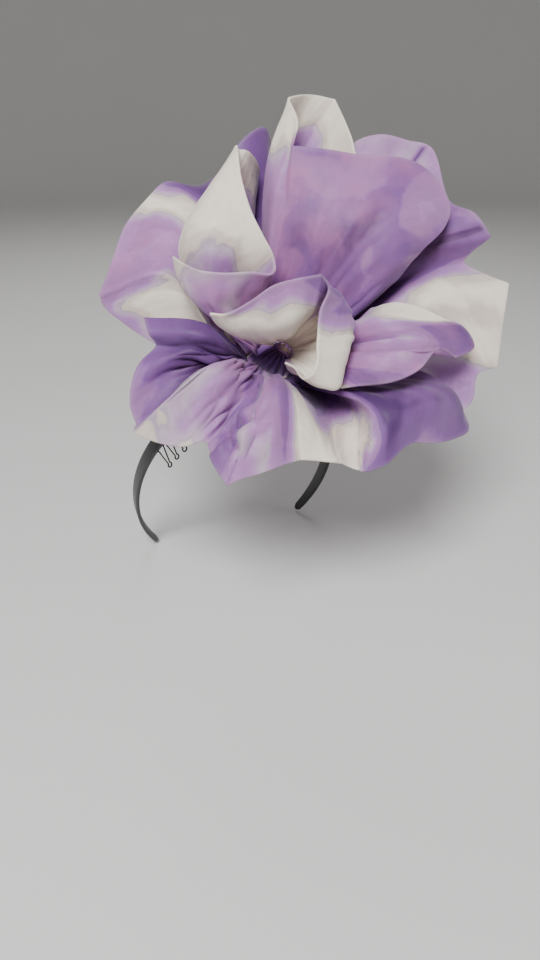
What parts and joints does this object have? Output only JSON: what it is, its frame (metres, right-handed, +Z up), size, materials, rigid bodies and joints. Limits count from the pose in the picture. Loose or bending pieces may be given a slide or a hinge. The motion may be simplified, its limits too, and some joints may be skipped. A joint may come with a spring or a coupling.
{
  "type": "ruffle headband",
  "caption": "Large gathered cloth ruffle in ivory, lilac and violet on a slim black band, with a bent wire comb at one side.",
  "frame": {"origin": "inner face of the band at the crown of the head, where the headband rests", "axes": "+Z up, -Y the way the wearer looks, +X the wearer's left"},
  "size_m": [0.2127, 0.1706, 0.2774],
  "materials": {
    "black_band": "satin",
    "black_wire": "satin",
    "core_cloth": "matte",
    "outer_ruffle_cloth": "soft satin, space dyed",
    "top_ruffle_cloth": "soft satin, space dyed",
    "left_ruffle_cloth": "soft satin, space dyed",
    "centre_ruffle_cloth": "soft satin, space dyed",
    "right_ruffle_cloth": "soft satin, space dyed",
    "front_ruffle_cloth": "soft satin, space dyed"
  },
  "bodies": {
    "root": {"headband": "black_band", "side_comb": "black_wire", "gathered_core": "core_cloth", "outer_ruffle": "outer_ruffle_cloth", "top_ruffle": "top_ruffle_cloth", "left_ruffle": "left_ruffle_cloth", "centre_ruffle": "centre_ruffle_cloth", "right_ruffle": "right_ruffle_cloth", "front_ruffle": "front_ruffle_cloth"}
  },
  "joints": []
}
